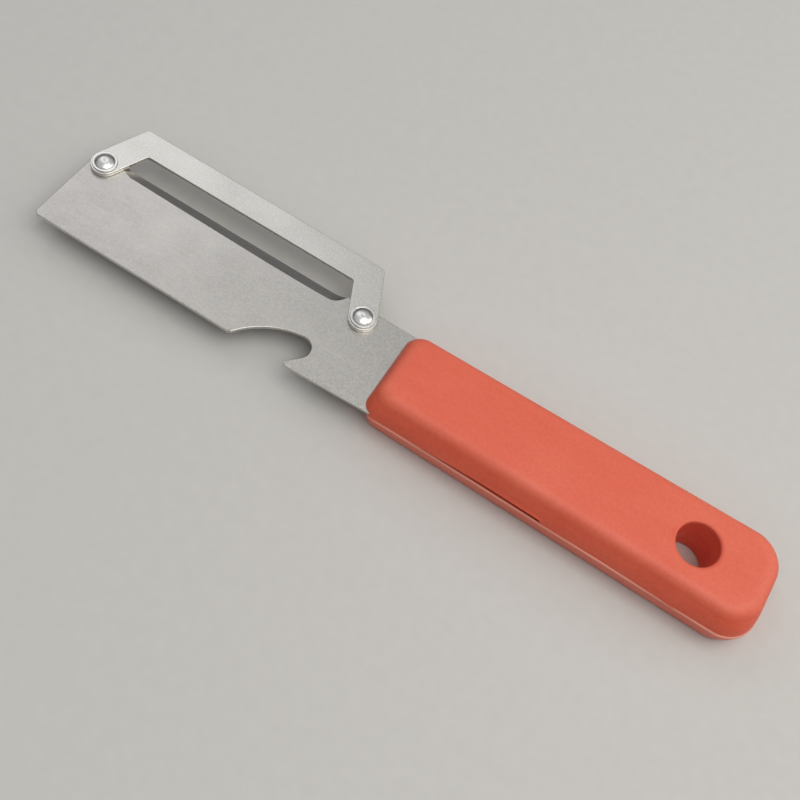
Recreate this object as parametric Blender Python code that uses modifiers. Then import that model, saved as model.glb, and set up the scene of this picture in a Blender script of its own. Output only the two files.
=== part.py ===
"""Flat stainless peeling knife with a riveted guard and a two-shell plastic handle.

Plan positions are measured from the front rivet's axis: X runs towards the handle, Y towards
the guard, and Z up from the surface that the handle lies on. One empty carries every piece, so
that the finished tool stands with its origin under the middle of its bounding box.
"""

import math

import bmesh
import bpy
from mathutils import Vector

# --- Steel plates -----------------------------------------------------------------------------
BLADE_THICKNESS = 0.0010
GUARD_THICKNESS = 0.0010
PLATE_GAP = 0.00015          # air between two plates, and between a plate and a rivet head

# --- Blade outline, seen from above -----------------------------------------------------------
FRONT_OVERHANG = 0.00495     # front lower corner, ahead of the front rivet
FRONT_LEAN = 0.0012          # how far the front edge leans back over its height
LOWER_EDGE = 0.0211          # lower edge, below the rivet line
SPINE_HEIGHT = 0.0033        # spine, above the rivet line
FRONT_CORNER_RADIUS = 0.0013
FRONT_TOP_RADIUS = 0.0034

# --- Bottle-opener notch and its hook ---------------------------------------------------------
NOTCH_SETBACK = 0.0236       # sharp corner where the lower edge ends, ahead of the rear rivet
NOTCH_RISE = math.radians(56.5)      # heading of the long arc where it leaves the corner
NOTCH_LEVEL = math.radians(7.5)      # heading of the long arc where it meets the small one
NOTCH_ARC_RADIUS = 0.0210
NOTCH_END_RADIUS = 0.0031
NOTCH_CORNER_RADIUS = 0.0003
HOOK_SLOPE = math.radians(45.7)
HOOK_TIP_RADIUS = 0.0008

# --- Slot grinding ----------------------------------------------------------------------------
EDGE_SETBACK = 0.0006        # cutting edge, below the spine
EDGE_LAND = 0.00015          # thickness left at the cutting edge
GRIND_WIDTH = 0.0024
GRIND_START = 0.0010         # behind the front rivet
GRIND_RUNOUT = 0.0058        # the grinding stops this far short of the rear rivet
GRIND_LEAD = 0.0091          # shallow run-in at the front
GRIND_TRAIL = 0.0080         # run-out at the rear
GRIND_LEAD_RISE = 0.0011     # the inner boundary climbs by this much at each end
GRIND_TRAIL_RISE = 0.0009
GRIND_BOW = 0.0003           # and dips by this much in the middle
GRIND_BOW_RADIUS = 0.0400
GRIND_TRAIL_RADIUS = 0.0200
GRIND_LEAD_RADIUS = 0.0010
GRIND_END_RADIUS = 0.0030

# --- Guard strip ------------------------------------------------------------------------------
RIVET_PITCH = 0.0750         # from the front rivet to the rear one
GUARD_REACH = 0.0145         # outer edge of the strip, above the rivet line
GUARD_BAR_WIDTH = 0.0069
GUARD_LEG_WIDTH = 0.0072
GUARD_LEAN = math.radians(24.0)
GUARD_OUTER_RADIUS = 0.0014
GUARD_INNER_RADIUS = 0.0009

# --- Rivets -----------------------------------------------------------------------------------
RIVET_SHANK_RADIUS = 0.0015
RIVET_HOLE_CLEARANCE = 0.00015
RIVET_BRIM_RADIUS = 0.0031
RIVET_BRIM_HEIGHT = 0.00035
RIVET_BRIM_BEVEL = 0.00012
RIVET_DOME_RADIUS = 0.0024
RIVET_DOME_FOOT = 0.0002     # the dome's foot spreads by this much
RIVET_DOME_HEIGHT = 0.0011
RIVET_TAIL_RADIUS = 0.0028
RIVET_TAIL_HEIGHT = 0.0008

# --- Handle -----------------------------------------------------------------------------------
HANDLE_NECK = 0.0120         # from the rear rivet to the handle's front face
HANDLE_LENGTH = 0.1002
HANDLE_AXIS = 0.0084         # centre line, below the rivet line
HANDLE_HALF_FRONT = 0.0123   # half width at the seam
HANDLE_HALF_REAR = 0.0138
UPPER_HEIGHT = 0.0070        # seam to the flat top
LOWER_HEIGHT = 0.0070        # seam to the flat underside
UPPER_SIDE_INSET = 0.0030    # the upper sides lean in by this much
LOWER_SIDE_INSET = 0.0011
UPPER_END_INSET = 0.0018
LOWER_END_INSET = 0.0005
HANDLE_FRONT_RADIUS = 0.0038
HANDLE_REAR_RADIUS = 0.0078
UPPER_CREASE = 0.0019        # width that the rounding of the top edge takes
LOWER_CREASE = 0.0013
SHELL_WALL = 0.0024
SEAM_GAP = 0.0003

# --- Hanging hole -----------------------------------------------------------------------------
HOLE_SETBACK = 0.0147        # from the handle's rear end to the near side of the hole
HOLE_RADIUS = 0.0052
HOLE_RIM_ROUNDING = 0.0006
HOLE_TUBE_WALL = 0.0018

# --- Inside the handle ------------------------------------------------------------------------
PEG_FRONT = 0.0140           # first peg, behind the handle's front face
PEG_TO_TUBE = 0.0113         # last peg, ahead of the tube round the hanging hole
PEG_COUNT = 3
PEG_RADIUS = 0.0020
PEG_CLEARANCE = 0.0003
PEG_WALL = 0.0020
PEG_REACH = 0.0040           # above the seam
RIBS_PER_PEG = 2             # ribs for each step from one peg to the next
RIB_THICKNESS = 0.0016
TANG_SHOULDER = 0.0042       # the full-width part of the tang, inside the handle's mouth
TANG_SIDE_WALL = 0.0006      # plastic left beside the shoulder
TANG_STEP = 0.0032           # the tang is narrower by this much behind the shoulder
TANG_STEP_RADIUS = 0.0008
TANG_OVERRUN = 0.0100        # the tang ends this far behind the last peg that goes through it
TANG_CORNER_RADIUS = 0.0030
TANG_CLEARANCE = 0.0003
SIDE_SLIT_START = 0.0120
SIDE_SLIT_HEIGHT = 0.0007

# --- Worked out from the sizes above ----------------------------------------------------------
SEAM_Z = LOWER_HEIGHT
BLADE_TOP_Z = SEAM_Z + BLADE_THICKNESS / 2
GUARD_BOTTOM_Z = BLADE_TOP_Z + PLATE_GAP
GUARD_TOP_Z = GUARD_BOTTOM_Z + GUARD_THICKNESS
NOTCH_START = RIVET_PITCH - NOTCH_SETBACK
HANDLE_START = RIVET_PITCH + HANDLE_NECK
HANDLE_END = HANDLE_START + HANDLE_LENGTH
HOLE_X = HANDLE_END - HOLE_SETBACK - HOLE_RADIUS
PEG_LAST_X = HOLE_X - HOLE_RADIUS - HOLE_TUBE_WALL - PEG_TO_TUBE
PEG_STEP = (PEG_LAST_X - HANDLE_START - PEG_FRONT) / (PEG_COUNT - 1)
PEG_XS = [HANDLE_START + PEG_FRONT + PEG_STEP * index for index in range(PEG_COUNT)]
TANG_PEGS = PEG_XS[:-1]
TANG_END = TANG_PEGS[-1] + TANG_OVERRUN
TANG_HALF_MOUTH = HANDLE_HALF_FRONT - TANG_SIDE_WALL
TANG_HALF_INNER = TANG_HALF_MOUTH - TANG_STEP
RIVET_HOLE_RADIUS = RIVET_SHANK_RADIUS + RIVET_HOLE_CLEARANCE
ORIGIN_X = (HANDLE_END - FRONT_OVERHANG) / 2
ORIGIN_Y = (GUARD_REACH - HANDLE_AXIS - HANDLE_HALF_REAR) / 2
ARC_STEPS = 8
CUT_MARGIN = 0.0010          # a cutter runs this far past the face that it opens
FULL_ROUND = 0.999           # share of a full round that a corner takes, short of its neighbour

PARTS = None
CUTTERS = None
ROOT = None


# --- Scene and materials ----------------------------------------------------------------------
def start_scene():
    """Empty the scene, then make the two collections and the empty that carries the tool."""
    global PARTS, CUTTERS, ROOT
    for obj in list(bpy.data.objects):
        bpy.data.objects.remove(obj, do_unlink=True)
    PARTS = bpy.data.collections.new("peeling_knife")
    CUTTERS = bpy.data.collections.new("cutters")
    bpy.context.scene.collection.children.link(PARTS)
    bpy.context.scene.collection.children.link(CUTTERS)
    ROOT = bpy.data.objects.new("tool_origin", None)
    ROOT.location = (-ORIGIN_X, -ORIGIN_Y, 0)
    PARTS.objects.link(ROOT)


def material(name, colour, roughness, metallic):
    """Principled material in one colour."""
    mat = bpy.data.materials.new(name)
    mat.use_nodes = True
    shader = mat.node_tree.nodes["Principled BSDF"]
    shader.inputs["Base Color"].default_value = (*colour, 1)
    shader.inputs["Roughness"].default_value = roughness
    shader.inputs["Metallic"].default_value = metallic
    return mat


def add_part(name, mesh, mat, location=(0, 0, 0)):
    """Put a finished mesh into the tool as the named piece."""
    obj = bpy.data.objects.new(name, mesh)
    obj.data.materials.append(mat)
    obj.parent = ROOT
    obj.location = location
    PARTS.objects.link(obj)
    return obj


def add_cutter(name, mesh, location=(0, 0, 0)):
    """Put a mesh beside the tool as a cutter, shown as a wire and never rendered."""
    obj = bpy.data.objects.new(name, mesh)
    obj.parent = ROOT
    obj.location = location
    obj.hide_render = True
    obj.display_type = "WIRE"
    CUTTERS.objects.link(obj)
    return obj


def boolean(obj, cutter, operation):
    """Cut or join one object with another."""
    modifier = obj.modifiers.new(f"{operation.lower()}_{cutter.name}", "BOOLEAN")
    modifier.operation = operation
    modifier.object = cutter


# --- Shapes -----------------------------------------------------------------------------------
def rounded_outline(corners):
    """Closed outline through (x, y, radius) corners, each one rounded by an arc that is
    tangent to both of its sides, or left sharp if its radius is 0."""
    points = []
    count = len(corners)
    for index, (x, y, radius) in enumerate(corners):
        corner = Vector((x, y))
        if radius == 0:
            points.append(corner)
            continue
        before = Vector(corners[index - 1][:2]) - corner
        after = Vector(corners[(index + 1) % count][:2]) - corner
        before.normalize()
        after.normalize()
        half_angle = before.angle(after) / 2
        tangent = radius / math.tan(half_angle)
        centre = corner + (before + after).normalized() * (radius / math.sin(half_angle))
        start = corner + before * tangent - centre
        turn = math.pi - 2 * half_angle
        if before.cross(after) > 0:
            turn = -turn
        steps = max(1, math.ceil(ARC_STEPS * abs(turn) / (math.pi / 2)))
        for step in range(steps + 1):
            angle = turn * step / steps
            spoke = Vector((start.x * math.cos(angle) - start.y * math.sin(angle),
                            start.x * math.sin(angle) + start.y * math.cos(angle)))
            points.append(centre + spoke)
    return points


def plate_mesh(name, corners, thickness):
    """Flat plate: a filled 2D curve through the rounded corners, extruded by half its
    thickness each way, made a mesh with its caps welded on."""
    curve = bpy.data.curves.new(name, "CURVE")
    curve.dimensions = "2D"
    curve.fill_mode = "BOTH"
    curve.extrude = thickness / 2
    points = rounded_outline(corners)
    spline = curve.splines.new("POLY")
    spline.points.add(len(points) - 1)
    for spline_point, point in zip(spline.points, points):
        spline_point.co = (point.x, point.y, 0, 1)
    spline.use_cyclic_u = True
    holder = bpy.data.objects.new(name, curve)
    CUTTERS.objects.link(holder)
    graph = bpy.context.evaluated_depsgraph_get()
    mesh = bpy.data.meshes.new_from_object(holder.evaluated_get(graph))
    bpy.data.objects.remove(holder, do_unlink=True)
    shape = bmesh.new()
    shape.from_mesh(mesh)
    bmesh.ops.remove_doubles(shape, verts=shape.verts, dist=1e-6)
    bmesh.ops.recalc_face_normals(shape, faces=shape.faces)
    shape.to_mesh(mesh)
    shape.free()
    return mesh


def cylinder_mesh(name, radius, z_low, z_high, segments=32):
    """Capped cylinder about Z, between two heights."""
    shape = bmesh.new()
    bmesh.ops.create_cone(shape, cap_ends=True, segments=segments,
                          radius1=radius, radius2=radius, depth=z_high - z_low)
    bmesh.ops.translate(shape, verts=shape.verts, vec=(0, 0, (z_low + z_high) / 2))
    mesh = bpy.data.meshes.new(name)
    shape.to_mesh(mesh)
    shape.free()
    return mesh


def block_mesh(name, low, high):
    """Box between two corners."""
    shape = bmesh.new()
    bmesh.ops.create_cube(shape, size=1)
    size = [b - a for a, b in zip(low, high)]
    bmesh.ops.scale(shape, verts=shape.verts, vec=size)
    bmesh.ops.translate(shape, verts=shape.verts, vec=[(a + b) / 2 for a, b in zip(low, high)])
    mesh = bpy.data.meshes.new(name)
    shape.to_mesh(mesh)
    shape.free()
    return mesh


def turned_mesh(name, profile, steps=32):
    """Profile of (radius, z) points, top to bottom, turned about Z by a Screw modifier."""
    mesh = bpy.data.meshes.new(name)
    mesh.from_pydata([(r, 0, z) for r, z in profile],
                     [(i, i + 1) for i in range(len(profile) - 1)], [])
    holder = bpy.data.objects.new(name, mesh)
    CUTTERS.objects.link(holder)
    screw = holder.modifiers.new("turn", "SCREW")
    screw.steps = steps
    screw.render_steps = steps
    screw.use_merge_vertices = True
    screw.merge_threshold = 1e-6
    graph = bpy.context.evaluated_depsgraph_get()
    turned = bpy.data.meshes.new_from_object(holder.evaluated_get(graph))
    bpy.data.objects.remove(holder, do_unlink=True)
    turned.shade_smooth()
    turned.set_sharp_from_angle(angle=math.radians(40))
    return turned


def arc(centre_r, centre_z, radius, start, end, steps):
    """Points of (radius, z) along a round stretch of a turned profile, angles in degrees."""
    angles = [math.radians(start + (end - start) * i / steps) for i in range(steps + 1)]
    return [(centre_r + radius * math.cos(a), centre_z + radius * math.sin(a)) for a in angles]


# --- Blade ------------------------------------------------------------------------------------
def offset_along(point, heading, distance):
    """Point reached from another one by going a distance along a heading."""
    return (point[0] + distance * math.cos(heading), point[1] + distance * math.sin(heading))


def notch_corners():
    """Corners of the notch and the hook, from the lower edge to the tang's lower edge."""
    start = (NOTCH_START, -LOWER_EDGE)
    long_side = NOTCH_ARC_RADIUS * math.tan((NOTCH_RISE - NOTCH_LEVEL) / 2)
    crown = offset_along(start, NOTCH_RISE, long_side)
    turn = math.pi + NOTCH_LEVEL - HOOK_SLOPE
    end_side = NOTCH_END_RADIUS * math.tan(turn / 2)
    back = offset_along(crown, NOTCH_LEVEL, long_side + end_side)
    drop = back[1] + LOWER_EDGE
    tip = (back[0] - drop / math.tan(HOOK_SLOPE), -LOWER_EDGE)
    return [(*start, NOTCH_CORNER_RADIUS),
            (*crown, NOTCH_ARC_RADIUS * FULL_ROUND),
            (*back, NOTCH_END_RADIUS),
            (*tip, HOOK_TIP_RADIUS)]


def tang_corners(clearance):
    """The tang's outline inside the handle, below the centre line first, grown by a clearance."""
    shoulder = HANDLE_START + TANG_SHOULDER + clearance
    end = TANG_END + clearance
    mouth = TANG_HALF_MOUTH + clearance
    inner = TANG_HALF_INNER + clearance
    half = [(shoulder, mouth, TANG_STEP_RADIUS), (shoulder, inner, TANG_STEP_RADIUS),
            (end, inner, TANG_CORNER_RADIUS)]
    lower = [(x, -HANDLE_AXIS - y, r) for x, y, r in half]
    upper = [(x, -HANDLE_AXIS + y, r) for x, y, r in reversed(half)]
    return lower + upper


def blade_corners():
    """The blade's outline, anticlockwise from its front lower corner."""
    front_low = (-FRONT_OVERHANG, -LOWER_EDGE, FRONT_CORNER_RADIUS)
    front_top = (-FRONT_OVERHANG + FRONT_LEAN, SPINE_HEIGHT, FRONT_TOP_RADIUS)
    return [front_low, *notch_corners(), *tang_corners(0), front_top]


def grind_corners():
    """Outline of the stone's track in its own plane: long run-in at the front, short run-out
    at the rear. Its Y runs up the ground face from the inner boundary."""
    rear = RIVET_PITCH - GRIND_RUNOUT
    above = GRIND_WIDTH + CUT_MARGIN * 2
    middle = (GRIND_START + rear) / 2
    return [(GRIND_START, above, 0),
            (GRIND_START, GRIND_LEAD_RISE, GRIND_LEAD_RADIUS),
            (GRIND_START + GRIND_LEAD, GRIND_BOW, GRIND_BOW_RADIUS),
            (middle, 0, GRIND_BOW_RADIUS),
            (rear - GRIND_TRAIL, GRIND_BOW, GRIND_TRAIL_RADIUS),
            (rear, GRIND_TRAIL_RISE, GRIND_END_RADIUS),
            (rear, above, 0)]


def grind_cutter():
    """The stone's track as a slab, tilted so that it meets the top face at the inner boundary
    and leaves only a thin land at the cutting edge."""
    slab = BLADE_THICKNESS * 4
    slope = math.atan2(BLADE_THICKNESS - EDGE_LAND, GRIND_WIDTH)
    inner_y = SPINE_HEIGHT - EDGE_SETBACK - GRIND_WIDTH
    cutter = add_cutter("stone_track", plate_mesh("stone_track", grind_corners(), slab))
    cutter.rotation_euler = (-slope, 0, 0)
    lift = slab / 2
    cutter.location = (0, inner_y + lift * math.sin(slope), BLADE_TOP_Z + lift * math.cos(slope))
    return cutter


def edge_cutter():
    """Block that brings the ground stretch of the spine down to the cutting edge."""
    edge_y = SPINE_HEIGHT - EDGE_SETBACK
    low = (GRIND_START, edge_y, SEAM_Z - BLADE_THICKNESS)
    high = (RIVET_PITCH - GRIND_RUNOUT, SPINE_HEIGHT + CUT_MARGIN, BLADE_TOP_Z + CUT_MARGIN)
    return add_cutter("edge_setback", block_mesh("edge_setback", low, high))


def through_cutter(name, x, y, radius):
    """Cylinder that cuts right through the plates at a rivet or a peg."""
    z_low = SEAM_Z - BLADE_THICKNESS - CUT_MARGIN
    z_high = GUARD_TOP_Z + CUT_MARGIN
    return add_cutter(name, cylinder_mesh(name, radius, z_low, z_high), (x, y, 0))


def make_blade(steel):
    """Blade and tang in one plate, ground along the slot, with its rivet and peg holes."""
    blade = add_part("blade", plate_mesh("blade", blade_corners(), BLADE_THICKNESS), steel,
                     (0, 0, SEAM_Z))
    boolean(blade, edge_cutter(), "DIFFERENCE")
    boolean(blade, grind_cutter(), "DIFFERENCE")
    for place, x in (("front", 0), ("rear", RIVET_PITCH)):
        hole = through_cutter(f"rivet_hole_{place}", x, 0, RIVET_HOLE_RADIUS)
        boolean(blade, hole, "DIFFERENCE")
    for index, x in enumerate(TANG_PEGS):
        hole = through_cutter(f"peg_hole_{index}", x, -HANDLE_AXIS, PEG_RADIUS + PEG_CLEARANCE)
        boolean(blade, hole, "DIFFERENCE")


# --- Guard ------------------------------------------------------------------------------------
def guard_corners():
    """Outline of the guard: a strip that climbs from the front rivet, runs over the slot and
    comes down to the rear rivet, mirrored about the middle of the two."""
    half_leg = GUARD_LEG_WIDTH / 2
    tab = half_leg * FULL_ROUND
    up = Vector((math.sin(GUARD_LEAN), math.cos(GUARD_LEAN)))
    out = Vector((-up.y, up.x))
    inner_y = GUARD_REACH - GUARD_BAR_WIDTH

    def on_leg(side, y):
        start = out * side * half_leg
        return start + up * ((y - start.y) / up.y)

    low_in = -up * half_leg - out * half_leg
    low_out = -up * half_leg + out * half_leg
    half = [(*on_leg(-1, inner_y), GUARD_INNER_RADIUS),
            (*low_in, tab),
            (*low_out, tab),
            (*on_leg(1, GUARD_REACH), GUARD_OUTER_RADIUS)]
    mirrored = [(RIVET_PITCH - x, y, r) for x, y, r in reversed(half)]
    return half + mirrored


def make_guard(steel):
    """Guard strip lying on the blade, with a hole at each rivet."""
    middle = (GUARD_BOTTOM_Z + GUARD_TOP_Z) / 2
    mesh = plate_mesh("peeling_guard", guard_corners(), GUARD_THICKNESS)
    guard = add_part("peeling_guard", mesh, steel, (0, 0, middle))
    for place, x in (("front", 0), ("rear", RIVET_PITCH)):
        hole = through_cutter(f"guard_hole_{place}", x, 0, RIVET_HOLE_RADIUS)
        boolean(guard, hole, "DIFFERENCE")


# --- Rivets -----------------------------------------------------------------------------------
def rivet_profile():
    """Half section of a rivet, top to bottom: dome, hollow fillet, brim, shank, tail head."""
    brim_low = GUARD_TOP_Z + PLATE_GAP
    brim_top = brim_low + RIVET_BRIM_HEIGHT
    tail_top = SEAM_Z - BLADE_THICKNESS / 2 - PLATE_GAP
    dome_side = RIVET_DOME_RADIUS - RIVET_DOME_FOOT
    sphere = (dome_side ** 2 + RIVET_DOME_HEIGHT ** 2) / (2 * RIVET_DOME_HEIGHT)
    spread = math.degrees(math.asin(dome_side / sphere))
    dome = arc(0, brim_top + RIVET_DOME_HEIGHT - sphere, sphere, 90, 90 - spread, 6)
    dome[0] = (0, dome[0][1])
    tail_sphere = (RIVET_TAIL_RADIUS ** 2 + RIVET_TAIL_HEIGHT ** 2) / (2 * RIVET_TAIL_HEIGHT)
    tail_spread = math.degrees(math.asin(RIVET_TAIL_RADIUS / tail_sphere))
    tail = arc(0, tail_top - RIVET_TAIL_HEIGHT + tail_sphere, tail_sphere,
               -90 + tail_spread, -90, 5)
    tail[-1] = (0, tail[-1][1])
    return [*dome,
            (RIVET_DOME_RADIUS, brim_top),
            (RIVET_BRIM_RADIUS - RIVET_BRIM_BEVEL, brim_top),
            (RIVET_BRIM_RADIUS, brim_top - RIVET_BRIM_BEVEL),
            (RIVET_BRIM_RADIUS, brim_low),
            (RIVET_SHANK_RADIUS, brim_low),
            (RIVET_SHANK_RADIUS, tail_top),
            *tail]


def make_rivets(steel):
    """One rivet at each end of the guard."""
    for place, x in (("front", 0), ("rear", RIVET_PITCH)):
        name = f"rivet_{place}"
        add_part(name, turned_mesh(name, rivet_profile(), steps=28), steel, (x, 0, 0))


# --- Handle -----------------------------------------------------------------------------------
def tapered_block(name, wall, seam_z, far_z, side_inset, end_inset, crease, segments):
    """Half of the handle's form: a block whose sides and ends lean in from the seam to the far
    face, with round plan corners and a round far edge. A wall makes it smaller all over."""
    shape = bmesh.new()
    bmesh.ops.create_cube(shape, size=1)
    for vert in shape.verts:
        far = vert.co.z > 0
        rear = vert.co.x > 0
        lean = side_inset if far else 0
        end = (end_inset if far else 0) + wall
        half = (HANDLE_HALF_REAR if rear else HANDLE_HALF_FRONT) - wall - lean
        x = HANDLE_END - end if rear else HANDLE_START + end
        vert.co = (x, math.copysign(half, vert.co.y), far_z if far else seam_z)
    bmesh.ops.recalc_face_normals(shape, faces=shape.faces)
    middle = (HANDLE_START + HANDLE_END) / 2
    for rear, radius in ((False, HANDLE_FRONT_RADIUS), (True, HANDLE_REAR_RADIUS)):
        corners = [edge for edge in shape.edges
                   if abs(edge.verts[0].co.z - edge.verts[1].co.z) > abs(far_z - seam_z) / 2
                   and (edge.verts[0].co.x > middle) == rear]
        bmesh.ops.bevel(shape, geom=corners, offset=radius - wall, segments=segments,
                        profile=0.5, affect="EDGES", clamp_overlap=True)
    far_faces = [face for face in shape.faces
                 if all(abs(vert.co.z - far_z) < 1e-7 for vert in face.verts)]
    rim = [edge for edge in far_faces[0].edges]
    bmesh.ops.bevel(shape, geom=rim, offset=crease, segments=max(2, segments // 2),
                    profile=0.5, affect="EDGES", clamp_overlap=True)
    bmesh.ops.recalc_face_normals(shape, faces=shape.faces)
    bmesh.ops.translate(shape, verts=shape.verts, vec=(0, -HANDLE_AXIS, 0))
    mesh = bpy.data.meshes.new(name)
    shape.to_mesh(mesh)
    shape.free()
    mesh.shade_smooth()
    mesh.set_sharp_from_angle(angle=math.radians(35))
    return mesh


def cell_cutter(name, side, height, side_inset, end_inset, crease):
    """The hollow of one shell, with its cross ribs, peg bosses and hole tube left standing."""
    near = SEAM_Z - side * CUT_MARGIN
    far = SEAM_Z + side * (height - SHELL_WALL)
    mesh = tapered_block(name, SHELL_WALL, near, far, side_inset, end_inset, crease / 2, 4)
    hollow = add_cutter(name, mesh)
    low = min(near, far) - CUT_MARGIN
    high = max(near, far) + CUT_MARGIN
    reach = HANDLE_HALF_REAR + CUT_MARGIN
    rib_step = PEG_STEP / RIBS_PER_PEG
    for index in range(RIBS_PER_PEG * PEG_COUNT - 1):
        x = PEG_XS[0] + rib_step * (index + 0.5)
        rib = block_mesh(f"{name}_rib_{index}",
                         (x - RIB_THICKNESS / 2, -HANDLE_AXIS - reach, low),
                         (x + RIB_THICKNESS / 2, -HANDLE_AXIS + reach, high))
        boolean(hollow, add_cutter(f"{name}_rib_{index}", rib), "DIFFERENCE")
    bosses = [(x, PEG_RADIUS + PEG_WALL) for x in PEG_XS]
    bosses.append((HOLE_X, HOLE_RADIUS + HOLE_TUBE_WALL))
    for index, (x, radius) in enumerate(bosses):
        boss = cylinder_mesh(f"{name}_boss_{index}", radius, low, high, segments=28)
        boolean(hollow, add_cutter(f"{name}_boss_{index}", boss, (x, -HANDLE_AXIS, 0)),
                "DIFFERENCE")
    return hollow


def hanging_hole_cutter():
    """Turned cutter for the hanging hole, flared at both faces for the rounded rims."""
    top = LOWER_HEIGHT + UPPER_HEIGHT
    flare = HOLE_RIM_ROUNDING
    upper = arc(HOLE_RADIUS + flare, top - flare, flare, 90, 180, 3)
    lower = [(r, top - z) for r, z in reversed(upper)]
    profile = [(0, top + CUT_MARGIN), (HOLE_RADIUS + flare, top + CUT_MARGIN), *upper,
               *lower, (HOLE_RADIUS + flare, -CUT_MARGIN), (0, -CUT_MARGIN)]
    return add_cutter("hanging_hole", turned_mesh("hanging_hole", profile, steps=36),
                      (HOLE_X, -HANDLE_AXIS, 0))


def tang_pocket_cutter():
    """Room for the tang between the shells, open through the handle's front."""
    front = HANDLE_START - CUT_MARGIN * 2
    mouth = TANG_HALF_MOUTH + TANG_CLEARANCE
    corners = [(front, -HANDLE_AXIS - mouth, 0), *tang_corners(TANG_CLEARANCE),
               (front, -HANDLE_AXIS + mouth, 0)]
    mesh = plate_mesh("tang_pocket", corners, BLADE_THICKNESS + 2 * PLATE_GAP)
    return add_cutter("tang_pocket", mesh, (0, 0, SEAM_Z))


def side_slit_cutter():
    """Long low slit in the upper shell's rim, beside the tang and as far back as its end."""
    low = (HANDLE_START + SIDE_SLIT_START, -HANDLE_AXIS - HANDLE_HALF_REAR - CUT_MARGIN,
           SEAM_Z - CUT_MARGIN)
    high = (TANG_END + TANG_CLEARANCE,
            -HANDLE_AXIS + HANDLE_HALF_REAR + CUT_MARGIN,
            SEAM_Z + SEAM_GAP / 2 + SIDE_SLIT_HEIGHT)
    return add_cutter("side_slit", block_mesh("side_slit", low, high))


def make_shells(plastic, pocket, hole):
    """The two shells of the handle: pegs stand on the lower one and enter the upper one."""
    upper_seam = SEAM_Z + SEAM_GAP / 2
    lower_seam = SEAM_Z - SEAM_GAP / 2
    upper = add_part("handle_upper_shell", tapered_block(
        "handle_upper_shell", 0, upper_seam, SEAM_Z + UPPER_HEIGHT,
        UPPER_SIDE_INSET, UPPER_END_INSET, UPPER_CREASE, 8), plastic)
    lower = add_part("handle_lower_shell", tapered_block(
        "handle_lower_shell", 0, lower_seam, SEAM_Z - LOWER_HEIGHT,
        LOWER_SIDE_INSET, LOWER_END_INSET, LOWER_CREASE, 8), plastic)
    boolean(upper, cell_cutter("upper_hollow", 1, UPPER_HEIGHT, UPPER_SIDE_INSET,
                               UPPER_END_INSET, UPPER_CREASE), "DIFFERENCE")
    boolean(lower, cell_cutter("lower_hollow", -1, LOWER_HEIGHT, LOWER_SIDE_INSET,
                               LOWER_END_INSET, LOWER_CREASE), "DIFFERENCE")
    for shell in (upper, lower):
        boolean(shell, pocket, "DIFFERENCE")
        boolean(shell, hole, "DIFFERENCE")
    boolean(upper, side_slit_cutter(), "DIFFERENCE")
    for index, x in enumerate(PEG_XS):
        place = (x, -HANDLE_AXIS, 0)
        peg = cylinder_mesh(f"peg_{index}", PEG_RADIUS, SHELL_WALL / 2, SEAM_Z + PEG_REACH,
                            segments=24)
        socket = cylinder_mesh(f"socket_{index}", PEG_RADIUS + PEG_CLEARANCE,
                               SEAM_Z - CUT_MARGIN, SEAM_Z + PEG_REACH + SEAM_GAP, segments=24)
        boolean(lower, add_cutter(f"peg_{index}", peg, place), "UNION")
        boolean(upper, add_cutter(f"socket_{index}", socket, place), "DIFFERENCE")


def main():
    start_scene()
    blade_steel = material("brushed stainless steel", (0.50, 0.49, 0.46), 0.35, 1.0)
    guard_steel = material("satin stainless strip", (0.58, 0.57, 0.55), 0.30, 1.0)
    rivet_steel = material("polished stainless rivet", (0.72, 0.72, 0.71), 0.12, 1.0)
    plastic = material("orange-red polypropylene", (0.74, 0.13, 0.07), 0.45, 0.0)
    make_blade(blade_steel)
    make_guard(guard_steel)
    make_rivets(rivet_steel)
    make_shells(plastic, tang_pocket_cutter(), hanging_hole_cutter())


main()
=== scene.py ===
"""Peeling knife: a satin steel plate with a riveted guard and an orange-red moulded handle.

Laid out as an add-on and run as a script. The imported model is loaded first, and every piece is
built round it in metres: X runs along the tool to the handle, Y to the guard, Z up.
"""
import math

import bpy
import numpy as np
from bpy.props import FloatProperty, FloatVectorProperty, PointerProperty
from mathutils import Matrix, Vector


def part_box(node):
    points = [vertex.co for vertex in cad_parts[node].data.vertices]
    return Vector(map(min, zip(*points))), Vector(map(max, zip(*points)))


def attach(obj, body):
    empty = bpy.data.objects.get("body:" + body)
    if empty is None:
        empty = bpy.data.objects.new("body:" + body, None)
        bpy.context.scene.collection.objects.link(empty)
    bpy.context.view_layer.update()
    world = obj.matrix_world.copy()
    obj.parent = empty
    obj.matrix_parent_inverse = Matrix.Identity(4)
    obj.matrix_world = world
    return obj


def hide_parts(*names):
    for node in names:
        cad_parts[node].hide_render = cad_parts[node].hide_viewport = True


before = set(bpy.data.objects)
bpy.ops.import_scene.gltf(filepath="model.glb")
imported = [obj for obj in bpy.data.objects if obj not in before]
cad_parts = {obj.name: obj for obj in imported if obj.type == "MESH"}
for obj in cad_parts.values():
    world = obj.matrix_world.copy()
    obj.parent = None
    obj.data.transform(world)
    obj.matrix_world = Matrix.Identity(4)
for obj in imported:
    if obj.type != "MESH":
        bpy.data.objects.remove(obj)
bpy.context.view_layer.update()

bl_info = {
    "name": "Peeling knife",
    "version": (1, 0, 0),
    "blender": (4, 5, 0),
    "location": "View3D > Sidebar > Peeling knife",
    "description": "Builds a peeling knife and its stage piece by piece",
    "category": "Add Mesh",
}

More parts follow.
